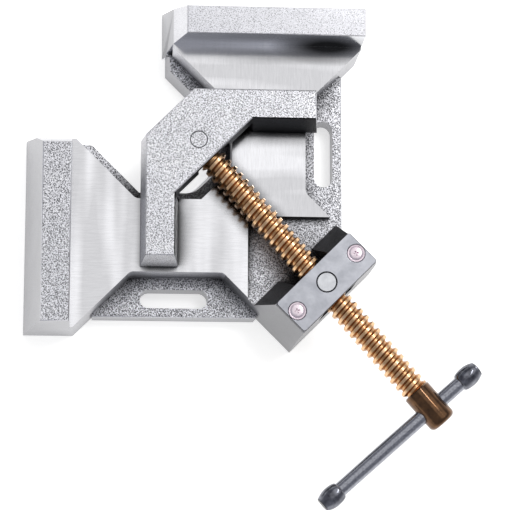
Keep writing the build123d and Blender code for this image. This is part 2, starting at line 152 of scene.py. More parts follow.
# Sliding bar and its knobs
BAR_RADIUS = 4.3 * MM
KNOB_LENGTH = 14 * MM
KNOB_NECK_RADIUS = 4.65 * MM
KNOB_RADIUS = 6.25 * MM
KNOB_END_RADIUS = 4.7 * MM
KNOB_WIDEST = 6.8 * MM
KNOB_ROUNDING = 0.8 * MM
KNOB_RINGS = 14
KNOB_GROOVE = 0.5 * MM
KNOB_GROOVE_DEPTH = 0.2 * MM

# Cover screws: heights count down from the plate's top, and the recess turns by degrees
SCREW_SHANK_RADIUS = 2.5 * MM
SCREW_NECK = 3 * MM
SCREW_RADIUS = 5.15 * MM
SCREW_EDGE = 0.35 * MM
SCREW_RIM = 0.05 * MM
SCREW_STEPS = 64
SCREW_GROOVE_RADIUS = 4.35 * MM
SCREW_GROOVE = 0.5 * MM
SCREW_CROWN_RADIUS = 3.9 * MM
SCREW_DOME = 0.02 * MM
RECESS_LENGTH = 4.2 * MM
RECESS_WIDTH = 1.0 * MM
RECESS_DEPTH = 1.5 * MM
RECESS_TURN = 20

# End of the moving jaw's pin
PIN_CHAMFER = 0.35 * MM


def frame_of(joint, direction=1):
    """The place of a turning piece: its origin on the joint, local X along the joint's axis."""
    along = Vector(joint["axis"]) * direction
    side = Vector((0, 0, 1)).cross(along)
    place = Matrix((along, side, Vector((0, 0, 1)))).transposed().to_4x4()
    place.translation = Vector(joint["pos_m"])
    return place


def reach(node, place):
    """A CAD node's lowest and highest coordinates in a place's own frame."""
    inverse = place.inverted()
    points = [inverse @ vertex.co for vertex in NODES[node].data.vertices]
    low = Vector([min(point[i] for point in points) for i in range(3)])
    high = Vector([max(point[i] for point in points) for i in range(3)])
    return low, high


AT_SPINDLE = frame_of(JOINTS["spindle_turn"], -1)
SPINDLE_LOW, SPINDLE_HIGH = reach("spindle", AT_SPINDLE)
HEAD_RADIUS = SPINDLE_HIGH.y
BAR_HOLE = SPINDLE_HIGH.x - BAR_HOLE_FROM_END
AT_BAR = AT_SPINDLE @ Matrix.Translation((BAR_HOLE, 0, 0)) @ Matrix.Rotation(math.radians(90), 4, "Z")


# Mesh helpers


def new_object(name, bm, place=None):
    """An object made from a bmesh, moved to its place; the bmesh is used up."""
    if place is not None:
        bm.transform(place)
    mesh = bpy.data.meshes.new(name)
    bm.to_mesh(mesh)
    bm.free()
    thing = bpy.data.objects.new(name, mesh)
    bpy.context.scene.collection.objects.link(thing)
    return thing


def shade(thing, angle=SHARP_FROM):
    """Smooth shading, with the edges over an angle kept sharp."""
    thing.data.shade_smooth()
    thing.data.set_sharp_from_angle(angle=angle)


def apply_modifiers(thing):
    """Give an object the mesh that its modifiers make."""
    graph = bpy.context.evaluated_depsgraph_get()
    mesh = bpy.data.meshes.new_from_object(thing.evaluated_get(graph))
    thing.modifiers.clear()
    old = thing.data
    thing.data = mesh
    bpy.data.meshes.remove(old)


def soften(thing, width):
    """Round the edges by their weights and keep the flat faces flat in the shading."""
    bevel = thing.modifiers.new("rounding", "BEVEL")
    bevel.width = width
    bevel.segments = ROUNDING_STEPS
    bevel.limit_method = "WEIGHT"
    bevel.use_clamp_overlap = True
    bevel.harden_normals = False
    bevel.material = 0
    apply_modifiers(thing)
    shade(thing)
    flat = thing.modifiers.new("flat_faces", "WEIGHTED_NORMAL")
    flat.keep_sharp = True


def cut(thing, cutter):
    """Take one object's shape out of another."""
    boolean = thing.modifiers.new("cut", "BOOLEAN")
    boolean.operation = "DIFFERENCE"
    boolean.solver = "EXACT"
    boolean.object = cutter
    apply_modifiers(thing)
    bpy.data.objects.remove(cutter)


def lathe(outline, steps=ROUND_STEPS):
    """A closed mesh turned about local X from points (x, radius); a radius of 0 is a pole."""
    bm = bmesh.new()
    rings = []
    for x, radius in outline:
        if radius == 0:
            rings.append([bm.verts.new((x, 0, 0))])
            continue
        turns = [2 * math.pi * i / steps for i in range(steps)]
        rings.append([bm.verts.new((x, radius * math.cos(t), radius * math.sin(t))) for t in turns])
    for one, two in zip(rings, rings[1:]):
        for i in range(steps):
            near = [one[i % len(one)], one[(i + 1) % len(one)]]
            far = [two[(i + 1) % len(two)], two[i % len(two)]]
            bm.faces.new(list(dict.fromkeys(near + far)))
    bmesh.ops.recalc_face_normals(bm, faces=bm.faces)
    return bm


def corner_arc(x, radius, size, outward, steps=5):
    """Points of a quarter round on a turned end at x, from its side to its flat face."""
    turns = [math.pi / 2 * i / steps for i in range(steps + 1)]
    return [(x - outward * size * (1 - math.sin(t)), radius - size * (1 - math.cos(t))) for t in turns]


def joined(first, *others):
    """One mesh from several bmesh shells."""
    for other in others:
        mesh = bpy.data.meshes.new("shell")
        other.to_mesh(mesh)
        other.free()
        first.from_mesh(mesh)
        bpy.data.meshes.remove(mesh)
    return first


# Shader helpers


def new_material(name):
    """A material with its node tree and its main shader."""
    material = bpy.data.materials.new(name)
    material.use_nodes = True
    return material, material.node_tree, material.node_tree.nodes["Principled BSDF"]


def add(tree, kind, **values):
    """A shader node with its properties and inputs set, or linked where the value is a socket."""
    node = tree.nodes.new(kind)
    for key, value in values.items():
        socket = node.inputs.get(key.replace("_", " ").title())
        if socket is None:
            setattr(node, key, value)
        elif isinstance(value, bpy.types.NodeSocket):
            tree.links.new(value, socket)
        else:
            socket.default_value = value
    return node


def ramp(tree, factor, *stops):
    """A colour ramp from (position, grey or colour) stops."""
    node = add(tree, "ShaderNodeValToRGB", fac=factor)
    elements = node.color_ramp.elements
    while len(elements) < len(stops):
        elements.new(0.5)
    for element, (position, value) in zip(elements, stops):
        element.position = position
        colour = (value,) * 3 if isinstance(value, (int, float)) else value
        element.color = (*colour, 1)
    return node.outputs["Color"]


def mixed(tree, factor, one, two, blend="MIX"):
    """Two colours mixed; a plain colour may be given for either."""
    node = tree.nodes.new("ShaderNodeMix")
    node.data_type = "RGBA"
    node.blend_type = blend
    for socket, value in ((node.inputs[0], factor), (node.inputs[6], one), (node.inputs[7], two)):
        if isinstance(value, bpy.types.NodeSocket):
            tree.links.new(value, socket)
        elif isinstance(value, (int, float)):
            socket.default_value = value
        else:
            socket.default_value = (*value, 1)
    return node.outputs[2]


def own_place(tree):
    """A point of the surface in the part's own coordinates."""
    return add(tree, "ShaderNodeTexCoord").outputs["Object"]


def noise(tree, scale, stretch=(1, 1, 1), detail=2.0, roughness=0.5, shift=0.0):
    """Noise in the part's own coordinates: features per metre, and the share of that along each axis."""
    place = own_place(tree)
    mapping = tree.nodes.new("ShaderNodeMapping")
    mapping.inputs["Scale"].default_value = stretch
    mapping.inputs["Location"].default_value = (shift, shift, shift)
    tree.links.new(place, mapping.inputs["Vector"])
    node = add(tree, "ShaderNodeTexNoise", scale=scale, detail=detail, roughness=roughness)
    tree.links.new(mapping.outputs["Vector"], node.inputs["Vector"])
    return node.outputs["Fac"]


def eased(tree, value, low, high, at_low, at_high):
    """A smooth step from one number to another."""
    node = add(tree, "ShaderNodeMapRange", interpolation_type="SMOOTHSTEP", value=value)
    for socket, number in zip(("From Min", "From Max", "To Min", "To Max"), (low, high, at_low, at_high)):
        node.inputs[socket].default_value = number
    return node.outputs["Result"]


def combined(tree, operation, one, two):
    """The result of a math node on two sockets or numbers."""
    node = add(tree, "ShaderNodeMath", operation=operation)
    for socket, value in zip(node.inputs, (one, two)):
        if isinstance(value, bpy.types.NodeSocket):
            tree.links.new(value, socket)
        else:
            socket.default_value = value
    return node.outputs[0]


def multiplied(tree, *colours):
    """Colours multiplied together."""
    product = colours[0]
    for colour in colours[1:]:
        product = mixed(tree, 1.0, product, colour, "MULTIPLY")
    return product


def bump(tree, bsdf, height, distance):
    """Raise the surface by a height map of this full depth."""
    node = add(tree, "ShaderNodeBump", height=height, distance=distance)
    tree.links.new(node.outputs["Normal"], bsdf.inputs["Normal"])


def grain_colour(tree, value):
    """A grey colour from a number."""
    grey = add(tree, "ShaderNodeCombineXYZ")
    for socket in grey.inputs:
        tree.links.new(value, socket)
    return grey.outputs["Vector"]


def cast_paint(name, tone, pits, contrast, relief, roughness=0.4, hollow=0.0, deep=(0.42, 0.72)):
    """Aluminium paint over a sand-cast skin: fine grain, dark pits, and painted shade where it lies deep."""
    material, tree, bsdf = new_material(name)
    grain = noise(tree, GRAINS_PER_METRE, detail=3.0, roughness=0.65)
    speckle = ramp(tree, grain, (0.38, 1.0 - contrast), (0.54, 1.0))
    cells = add(tree, "ShaderNodeTexVoronoi", vector=own_place(tree), scale=PITS_PER_METRE)
    holes = ramp(tree, cells.outputs["Distance"], (0.35 * pits, PIT_TONE), (pits, 1.0))
    cloud = ramp(tree, noise(tree, CLOUDS_PER_METRE, shift=3.0), (0.3, CLOUD_TONE), (0.7, 1.0))
    base = multiplied(tree, speckle, holes, cloud)
    # Painted shade: darker where other surfaces lie within the hollow distance, by the deep ramp
    if hollow:
        depth = add(tree, "ShaderNodeAmbientOcclusion", distance=hollow)
        painted_shade = ramp(tree, depth.outputs["AO"], (deep[0], HOLLOW_SHADE_TONE), (deep[1], 1.0))
        base = multiplied(tree, base, painted_shade)
    base = multiplied(tree, base, [share * tone for share in PAINT_TINT])
    tree.links.new(base, bsdf.inputs["Base Color"])
    bsdf.inputs["Roughness"].default_value = roughness
    bsdf.inputs["Metallic"].default_value = 1.0
    bump(tree, bsdf, mixed(tree, 0.5, grain_colour(tree, grain), holes), relief)
    return material


def painted_dark_patch(tree, base, middle, radii, tone):
    """Darken a soft ellipsoid round a point of the part, as a painted dark reflection."""
    off = add(tree, "ShaderNodeVectorMath", operation="SUBTRACT")
    tree.links.new(own_place(tree), off.inputs[0])
    off.inputs[1].default_value = middle
    share = add(tree, "ShaderNodeVectorMath", operation="DIVIDE")
    tree.links.new(off.outputs["Vector"], share.inputs[0])
    share.inputs[1].default_value = radii
    far = add(tree, "ShaderNodeVectorMath", operation="LENGTH")
    tree.links.new(share.outputs["Vector"], far.inputs[0])
    return multiplied(tree, base, ramp(tree, far.outputs["Value"], (DARK_REFLECTION_CORE, tone), (1.0, 1.0)))


def shaded_inside(tree, base, split):
    """Darken the pads where another piece lies close above them, away from the fixed jaws."""
    depth = add(tree, "ShaderNodeAmbientOcclusion", distance=SHADE_REACH)
    painted_shade = ramp(tree, depth.outputs["AO"], *SHADE_RAMP)
    from_y_jaw = split.outputs["X"]
    from_x_jaw = combined(tree, "MULTIPLY", split.outputs["Y"], -1.0)
    inside = eased(tree, combined(tree, "MINIMUM", from_y_jaw, from_x_jaw), *SHADE_FROM, 0, 1)
    return mixed(tree, inside, base, multiplied(tree, base, painted_shade))


def ground(name, light, dark, roughness, bands=0.8, wall_top_shade=None):
    """Ground steel: lines across the nearer jaw, broad bands along it; the last argument darkens a wall towards
    its top as painted shade.
    """
    material, tree, bsdf = new_material(name)
    split = add(tree, "ShaderNodeSeparateXYZ", vector=own_place(tree))
    past_diagonal = combined(tree, "ADD", split.outputs["X"], split.outputs["Y"])
    on_x_arm = combined(tree, "GREATER_THAN", past_diagonal, 0.0)
    lines = [(LINE_STRETCH, 1, 1), (1, LINE_STRETCH, 1)]
    broad = [(1, BAND_STRETCH, 1), (BAND_STRETCH, 1, 1)]
    fine = [noise(tree, LINES_PER_METRE, stretch, detail=3.0, roughness=0.6) for stretch in lines]
    wide = [noise(tree, BANDS_PER_METRE, stretch, detail=1.0, shift=7.0) for stretch in broad]
    scratches = mixed(tree, on_x_arm, *fine)
    tone = ramp(tree, mixed(tree, on_x_arm, *wide), (0.38, bands), (0.6, 1.0))
    base = mixed(tree, ramp(tree, scratches, (0.35, 0.0), (0.65, 1.0)), dark, light)
    base = multiplied(tree, base, tone)
    # Painted shade: the wall darkens with height up to the jaw's top
    if wall_top_shade:
        rise = add(tree, "ShaderNodeMapRange", value=split.outputs["Z"])
        rise.inputs["From Min"].default_value = FLOOR_TOP
        rise.inputs["From Max"].default_value = JAW_TOP
        base = multiplied(tree, base, ramp(tree, rise.outputs["Result"], (0.0, 1.0), (0.8, wall_top_shade)))
    else:
        base = shaded_inside(tree, base, split)
    # Painted dark reflections by the fixed jaw's wall
    for middle, radii, patch_tone in DARK_REFLECTIONS:
        base = painted_dark_patch(tree, base, Vector(middle) * MM, Vector(radii) * MM, patch_tone)
    tree.links.new(base, bsdf.inputs["Base Color"])
    bsdf.inputs["Metallic"].default_value = 1.0
    bsdf.inputs["Roughness"].default_value = roughness
    bump(tree, bsdf, scratches, LINE_DEPTH)
    return material


def turned_metal(name, light, dark, roughness, scale=300, coat=0.0):
    """Bare metal, mottled between a light and a dark colour; scale is features per metre."""
    material, tree, bsdf = new_material(name)
    streaks = noise(tree, scale, detail=4.0, roughness=0.6)
    tone = ramp(tree, streaks, (0.32, dark), (0.68, light))
    tree.links.new(tone, bsdf.inputs["Base Color"])
    bsdf.inputs["Metallic"].default_value = 1.0
    bsdf.inputs["Roughness"].default_value = roughness
    bsdf.inputs["Coat Weight"].default_value = coat
    bsdf.inputs["Coat Roughness"].default_value = 0.1
    bump(tree, bsdf, streaks, STREAK_DEPTH)
    return material


# Finishes of the castings: one paint, in copies whose tones are set apart as painted light and shade
# The three tops differ in grain, and their tones are set apart as painted light
T_TOP = cast_paint("cast_top_t_jaw", tone=0.86, pits=0.34, contrast=0.4, relief=0.05 * MM, roughness=0.4)
L_TOP = cast_paint("cast_top_l_jaw", tone=1.0, pits=0.56, contrast=0.7, relief=0.1 * MM, roughness=0.37)
JAW_PAINT = cast_paint(
    "cast_top_moving_jaw", tone=1.0, pits=0.5, contrast=0.6, relief=0.08 * MM, roughness=0.38
)
# The moving jaw's walls: a darker copy as painted shade, with more painted shade near other parts
JAW_WALL = cast_paint(
    "cast_wall_moving_jaw", tone=0.7, pits=0.4, contrast=0.3, relief=0.06 * MM, hollow=14 * MM
)
# Near-black copy of the paint on the moving jaw's rear walls: painted shade
JAW_INNER_SHADE = cast_paint("cast_inner_moving_jaw_painted_shade", tone=0.018, pits=0.6, contrast=0.8, relief=0.15 * MM)
# Low faces: full tone, with painted shade where parts lie close above
CAST_LOW = cast_paint(
    "cast_low", tone=1.0, pits=0.62, contrast=0.7, relief=0.12 * MM, hollow=30 * MM, deep=(0.36, 0.64)
)
# Walls off the floor: a darker copy as painted shade, with more painted shade near other parts
CAST_WALL = cast_paint(
    "cast_wall", tone=0.75, pits=0.2, contrast=0.3, relief=0.05 * MM, hollow=25 * MM, deep=(0.3, 0.8)
)
# Walls down to the floor: a darker copy as painted shade
CAST_SIDE = cast_paint("cast_side", tone=0.45, pits=0.15, contrast=0.2, relief=0.04 * MM)
# Darker copies of the paint on the lug: its sides in painted shade, its front faces near black as painted shade
LUG_SIDE_SHADE = cast_paint("cast_lug_side_painted_shade", tone=0.28, pits=0.12, contrast=0.12, relief=0.03 * MM)
LUG_INNER_SHADE = cast_paint("cast_lug_inner_painted_shade", tone=0.06, pits=0.6, contrast=0.8, relief=0.12 * MM)
# Darker copy of the paint on the rounded edges: painted shade lines along them
CAST_EDGE_SHADE = cast_paint("cast_edge_painted_shade", tone=0.34, pits=0.2, contrast=0.3, relief=0.04 * MM)

# Ground faces of the frame
GROUND_PAD = ground("ground_pads", (0.96, 0.96, 0.98), (0.88, 0.88, 0.9), 0.15, bands=0.74)
# The jaw faces darken towards their tops as painted shade
JAW_FACE = ground("ground_jaw_face", (0.95, 0.96, 1.0), (0.86, 0.87, 0.91), 0.14, bands=0.9, wall_top_shade=0.7)

# Plate, nut, pins and screws
PLATE = turned_metal("satin_plate", (0.55, 0.56, 0.6), (0.4, 0.41, 0.445), 0.33, scale=140)
# Near-black copy on the plate's edges and holes: painted shade, a dark outline
PLATE_EDGE_SHADE = turned_metal("plate_edge_painted_shade", (0.1, 0.1, 0.11), (0.05, 0.05, 0.06), 0.4)
NUT_STEEL = turned_metal("nut_steel_turned", (0.68, 0.69, 0.71), (0.55, 0.56, 0.58), 0.36)
PIN_END = turned_metal("pin_end", (0.86, 0.86, 0.87), (0.74, 0.74, 0.76), 0.4)
# Dark ring round the pin's end: painted shade
PIN_RING_SHADE = turned_metal("pin_ring_painted_shade", (0.12, 0.12, 0.13), (0.06, 0.06, 0.07), 0.5)
SCREW = turned_metal("zinc_screw", (0.9, 0.8, 0.85), (0.74, 0.63, 0.69), 0.28)

# Spindle, bar and knobs, and the plain pieces inside
COPPER = turned_metal("coppered_steel", (0.88, 0.6, 0.37), (0.62, 0.38, 0.19), 0.25)
# Darker copy of the copper for the thread's roots and flanks: painted shade in the grooves
ROOT_COPPER_SHADE = turned_metal("coppered_thread_root_painted_shade", (0.66, 0.39, 0.2), (0.42, 0.23, 0.1), 0.3)
# Near-black copy of the copper for the head: painted shade
HEAD_COPPER_SHADE = turned_metal("coppered_head_painted_shade", (0.15, 0.07, 0.026), (0.07, 0.032, 0.011), 0.12, coat=0.5)
BAR = turned_metal("drawn_bar", (0.37, 0.38, 0.42), (0.22, 0.225, 0.255), 0.16, scale=900)
KNOB = turned_metal("upset_knob", (0.24, 0.247, 0.28), (0.07, 0.072, 0.084), 0.16, scale=220)
# Near-black copy of the knob's steel for its end and groove: painted shade
KNOB_END_SHADE = turned_metal("knob_end_painted_shade", (0.06, 0.06, 0.065), (0.02, 0.02, 0.022), 0.35)
PLAIN = turned_metal("plain_steel_turned", (0.58, 0.58, 0.6), (0.44, 0.44, 0.46), 0.35)


# The two castings, each a copy of its CAD mesh with rounded edges and a finish for each face


def frame_finish(face):
    """The finish that suits a face of the frame casting."""
    middle = face.calc_center_median()
    normal = face.normal
    lowest = min(vertex.co.z for vertex in face.verts)
    if normal.z > SQUARE and abs(middle.z - FLOOR_TOP) < NEAR:
        return GROUND_PAD
    on_x_face = normal.y < -SQUARE and abs(middle.y) < NEAR
    on_y_face = normal.x > SQUARE and abs(middle.x) < NEAR
    if on_x_face or on_y_face:
        return JAW_FACE
    if normal.z > SLOPED and middle.z > JAW_TOP - TOP_DROP:
        return T_TOP if middle.x + middle.y > 0 else L_TOP
    if normal.z > SLOPED:
        return CAST_LOW
    along = (middle.x - middle.y) / math.sqrt(2)
    at_lug = abs(middle.x + middle.y) < LUG_REACH and along > LUG_START and middle.z > LUG_FOOT
    # The lug's faces get the darker copies of the paint: painted shade
    if at_lug and normal.y - normal.x > 1:
        return LUG_INNER_SHADE
    if at_lug:
        return LUG_SIDE_SHADE
    return CAST_SIDE if lowest < LOW_LEDGE else CAST_WALL


def jaw_finish(face):
    """The finish that suits a face of the moving jaw."""
    pin = JOINTS["jaw_swivel"]["pos_m"]
    middle = face.calc_center_median()
    normal = face.normal
    if normal.z > SLOPED:
        return JAW_PAINT
    rear_of_x_arm = normal.y < -REARWARD and middle.x > pin[0]
    rear_of_y_arm = normal.x > REARWARD and middle.y < pin[1]
    # The rear walls get the near-black copy of the paint: painted shade
    return JAW_INNER_SHADE if rear_of_x_arm or rear_of_y_arm else JAW_WALL


def plate_finish(face):
    """Satin on top, and near black on the cut edges and in the holes as painted shade."""
    return PLATE if face.normal.z > SQUARE else PLATE_EDGE_SHADE


# The first finish of a list goes on the rounded edges
FRAME_FINISHES = [CAST_EDGE_SHADE, T_TOP, L_TOP, CAST_LOW, CAST_WALL, CAST_SIDE, LUG_SIDE_SHADE, LUG_INNER_SHADE]
FRAME_FINISHES += [GROUND_PAD, JAW_FACE]
JAW_FINISHES = [CAST_EDGE_SHADE, JAW_PAINT, JAW_WALL, JAW_INNER_SHADE]
PLATE_FINISHES = [PLATE, PLATE_EDGE_SHADE]
GROUND_FINISHES = (GROUND_PAD, JAW_FACE)


def draft_flange(bm):
    """Lean the flange's wall at the notch back, as a sand-cast wall leans."""
    moves = {}
    for face in bm.faces:
        heights = [vertex.co.z for vertex in face.verts]
        normal = face.normal
        at_notch = max(max(vertex.co.x, -vertex.co.y) for vertex in face.verts) < NOTCH_REACH
        upright = abs(normal.z) < UPRIGHT
        towards_corner = normal.x < UPRIGHT and normal.y > -UPRIGHT
        if not (upright and at_notch and towards_corner) or max(heights) > FLANGE_TOP:
            continue
        for vertex in face.verts:
            if vertex.co.z > LOW_LEDGE:
                moves.setdefault(vertex, []).append(normal.copy())
    for vertex, normals in moves.items():
        vertex.co -= sum(normals, Vector()).normalized() * FLANGE_DRAFT


def dressed(node, name, finishes, pick, cutter=None, reshape=None):
    """A copy of a CAD node with clean flat faces, rounded edges and its finishes."""
    bm = bmesh.new()
    bm.from_mesh(NODES[node].data)
    if cutter:
        whole = new_object(name + "_whole", bm)
        cut(whole, cutter)
        bm = bmesh.new()
        bm.from_mesh(whole.data)
        bpy.data.objects.remove(whole)
    bmesh.ops.remove_doubles(bm, verts=bm.verts, dist=SAME_POINT)
    bmesh.ops.dissolve_limit(bm, angle_limit=FLAT_WITHIN, verts=bm.verts, edges=bm.edges)
    bm.normal_update()
    if reshape:
        reshape(bm)
        bm.normal_update()
    for face in bm.faces:
        face.material_index = finishes.index(pick(face))
    weight = bm.edges.layers.float.new("bevel_weight_edge")
    for edge in bm.edges:
        if len(edge.link_faces) == 2 and edge.calc_face_angle() > ROUNDED_FROM:
            ground = sum(finishes[face.material_index] in GROUND_FINISHES for face in edge.link_faces)
            edge[weight] = (1.0, GROUND_ROUNDING / CAST_ROUNDING, CREASE_ROUNDING / CAST_ROUNDING)[ground]
    thing = new_object(name, bm)
    for finish in finishes:
        thing.data.materials.append(finish)
    soften(thing, CAST_ROUNDING)
    return thing


def bridge_relief():
    """The hollow under the moving jaw's rear edge, open towards the spindle."""
    bm = bmesh.new()
    size = Vector((RELIEF_DEPTH + RELIEF_PAST, RELIEF_WIDTH, RELIEF_TOP - RELIEF_BOTTOM))
    bmesh.ops.create_cube(bm, size=1.0, matrix=Matrix.Diagonal((*size, 1)))
    pin = Vector(JOINTS["jaw_swivel"]["pos_m"])
    rear = Vector((1, -1, 0)).normalized() * (JAW_REAR + (RELIEF_PAST - RELIEF_DEPTH) / 2)
    middle = Vector((pin.x, pin.y, (RELIEF_TOP + RELIEF_BOTTOM) / 2)) + rear
    place = Matrix.Translation(middle) @ Matrix.Rotation(math.radians(-45), 4, "Z")
    return new_object("relief", bm, place)


cast_frame = dressed("base_frame", "cast_frame", FRAME_FINISHES, frame_finish, reshape=draft_flange)
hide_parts("base_frame")
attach(cast_frame, "frame")

cover = dressed("nut_cover_plate", "cover_plate", PLATE_FINISHES, plate_finish)
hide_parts("nut_cover_plate")
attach(cover, "frame")

cast_jaw = dressed("moving_jaw", "cast_moving_jaw", JAW_FINISHES, jaw_finish, cutter=bridge_relief())
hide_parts("moving_jaw")
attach(cast_jaw, "jaw")


# Spindle


def thread_shell(start, end):
    """A right-hand trapezoidal thread about local X: the tooth's outline carried round a helix."""
    flank = (1 - CREST_SHARE - ROOT_SHARE) / 2
    tooth = [(0, -1), (ROOT_SHARE, -1), (ROOT_SHARE + flank, 0), (ROOT_SHARE + flank + CREST_SHARE, 0)]
    turns = math.ceil((end - start) / THREAD_PITCH) + 2
    bm = bmesh.new()
    columns = []
    for step in range(turns * THREAD_STEPS + 1):
        turn = 2 * math.pi * step / THREAD_STEPS
        column = []
        for share, depth in tooth:
            x = start + THREAD_PITCH * (step / THREAD_STEPS + share - 1)
            radius = CREST_RADIUS + depth * THREAD_DEPTH
            x = min(max(x, start), end)
            radius = min(radius, CREST_RADIUS - THREAD_DEPTH + (x - start) * THREAD_RUN_IN)
            radius = min(radius, HEAD_RADIUS - HEAD_EDGE + (end - x))
            column.append(bm.verts.new((x, radius * math.cos(turn), radius * math.sin(turn))))
        columns.append(column)
    for step in range((turns - 1) * THREAD_STEPS):
        here = columns[step] + columns[step + THREAD_STEPS][:1]
        after = columns[step + 1] + columns[step + 1 + THREAD_STEPS][:1]
        for i in range(len(tooth)):
            corners = (here[i], here[i + 1], after[i + 1], after[i])
            nearest = min(vertex.co.x for vertex in corners)
            furthest = max(vertex.co.x for vertex in corners)
            if furthest > start + SAME_POINT and nearest < end - SAME_POINT:
                bm.faces.new(corners)
    bmesh.ops.delete(bm, geom=[vertex for vertex in bm.verts if not vertex.link_faces], context="VERTS")
    bmesh.ops.remove_doubles(bm, verts=bm.verts, dist=SAME_POINT)
    bmesh.ops.dissolve_degenerate(bm, edges=bm.edges, dist=SAME_POINT)
    bmesh.ops.recalc_face_normals(bm, faces=bm.faces)
    return bm


def spindle_head(start, end):
    """The drilled head with a rounded end and a small lip where the thread stops."""
    lip = [(start, 0), (start, HEAD_RADIUS - HEAD_EDGE), (start + HEAD_EDGE, HEAD_RADIUS)]
    rounded_end = corner_arc(end, HEAD_RADIUS, HEAD_ROUNDING, 1, 8)
    return lathe(lip + rounded_end + [(end, 0)])


def build_spindle():
    """The feed screw: head with its bar hole, thread on a core, and the neck, one piece."""
    end = SPINDLE_HIGH.x
    head_start = end - HEAD_LENGTH
    head = new_object("spindle_head", spindle_head(head_start, end))
    through = 2 * HEAD_RADIUS
    outline = [(-through, 0), (-through, BAR_HOLE_RADIUS), (through, BAR_HOLE_RADIUS), (through, 0)]
    turn = Matrix.Translation((BAR_HOLE, 0, 0)) @ Matrix.Rotation(math.radians(90), 4, "Z")
    cut(head, new_object("bar_hole", lathe(outline), turn))
    bm = bmesh.new()
    bm.from_mesh(head.data)
    bpy.data.objects.remove(head)
    neck = lathe([(SPINDLE_LOW.x, 0), (SPINDLE_LOW.x, NECK_RADIUS), (SHOULDER, NECK_RADIUS), (SHOULDER, 0)])
    root = CREST_RADIUS - THREAD_DEPTH
    core = lathe([(SHOULDER, 0), (SHOULDER, root), (head_start, root), (head_start, 0)])
    joined(bm, thread_shell(SHOULDER, head_start), neck, core)
    spindle = new_object("feed_screw", bm, AT_SPINDLE)
    for finish in (COPPER, ROOT_COPPER_SHADE, HEAD_COPPER_SHADE):
        spindle.data.materials.append(finish)
    inverse = AT_SPINDLE.inverted()
    for face in spindle.data.polygons:
        middle = inverse @ face.center
        # The head gets the near-black copy of the copper: painted shade
        if middle.x > head_start - SAME_POINT:
            face.material_index = 2
        # Faces below the crests get the darker copper: painted shade in the grooves
        elif math.hypot(middle.y, middle.z) < CREST_RADIUS - NEAR:
            face.material_index = 1
    shade(spindle)
    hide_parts("spindle")
    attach(spindle, "spindle")


build_spindle()


# Sliding bar and knobs


def knob_shell(neck, out):
    """A barrel: it swells quickly from the neck in one arc and tapers to its end in another."""
    inner = BAR_RADIUS - KNOB_GROOVE_DEPTH
    groove_end = neck + out * KNOB_GROOVE
    outline = [(neck, 0), (neck, inner), (groove_end, inner), (groove_end, KNOB_NECK_RADIUS)]
    for i in range(1, KNOB_RINGS + 1):
        share = i / KNOB_RINGS
        swell = math.sqrt(1 - (1 - share) ** 2)
        x = neck + out * (KNOB_GROOVE + (KNOB_WIDEST - KNOB_GROOVE) * share)
        outline.append((x, KNOB_NECK_RADIUS + (KNOB_RADIUS - KNOB_NECK_RADIUS) * swell))
    taper = KNOB_LENGTH - KNOB_WIDEST - KNOB_ROUNDING
    for i in range(1, KNOB_RINGS + 1):
        share = i / KNOB_RINGS
        x = neck + out * (KNOB_WIDEST + taper * share)
        outline.append((x, KNOB_RADIUS - (KNOB_RADIUS - KNOB_END_RADIUS) * share**2))
    outline += corner_arc(neck + out * KNOB_LENGTH, KNOB_END_RADIUS, KNOB_ROUNDING, out)
    outline.append((neck + out * KNOB_LENGTH, 0))
    return lathe(outline)


def build_handle():
    """The sliding bar and its two knobs."""
    low, high = reach("handle_bar", AT_BAR)
    outline = [(low.x, 0), (low.x, BAR_RADIUS), (high.x, BAR_RADIUS), (high.x, 0)]
    bar = new_object("tommy_bar", lathe(outline), AT_BAR)
    bar.data.materials.append(BAR)
    shade(bar)
    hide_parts("handle_bar")
    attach(bar, "handle")
    for node in ("handle_knob_left", "handle_knob_right"):
        low, high = reach(node, AT_BAR)
        out = 1 if high.x > 0 else -1
        neck = low.x if out > 0 else high.x
        knob = new_object(node.replace("handle_knob", "bar_knob"), knob_shell(neck, out), AT_BAR)
        knob.data.materials.append(KNOB)
        knob.data.materials.append(KNOB_END_SHADE)
        inverse = AT_BAR.inverted()
        for face in knob.data.polygons:
            past = (inverse @ face.center).x * out - abs(neck)
            # The ends and the groove by the neck get the near-black copy: painted shade
            face.material_index = int(past > KNOB_LENGTH - 0.5 * KNOB_ROUNDING or past < KNOB_GROOVE)
        shade(knob)
        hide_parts(node)
        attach(knob, "handle")


build_handle()


# Cover plate and its screws


def centre_of(node):
    """The middle of a CAD node's box."""
    low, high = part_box(node)
    return (low + high) / 2


def upright_at(middle):
    """The place of a turned piece that stands upright, its heights kept."""
    return Matrix.Translation((middle.x, middle.y, 0)) @ Matrix.Rotation(math.radians(-90), 4, "Y")


def recess_blade(middle, angle):
    """One blade of the cross recess, narrower towards the bottom."""
    bm = bmesh.new()
    blade = bmesh.ops.create_cube(bm, size=1.0)["verts"]
    for vertex in blade:
        deep = vertex.co.z < 0
        vertex.co.x *= RECESS_LENGTH * (0.4 if deep else 1.0)
        vertex.co.y *= RECESS_WIDTH * (0.6 if deep else 1.0)
        vertex.co.z = PLATE_TOP - RECESS_DEPTH if deep else PLATE_TOP + RECESS_DEPTH
    bmesh.ops.rotate(bm, verts=blade, cent=(0, 0, 0), matrix=Matrix.Rotation(math.radians(angle), 3, "Z"))
    return new_object("recess", bm, Matrix.Translation((middle.x, middle.y, 0)))


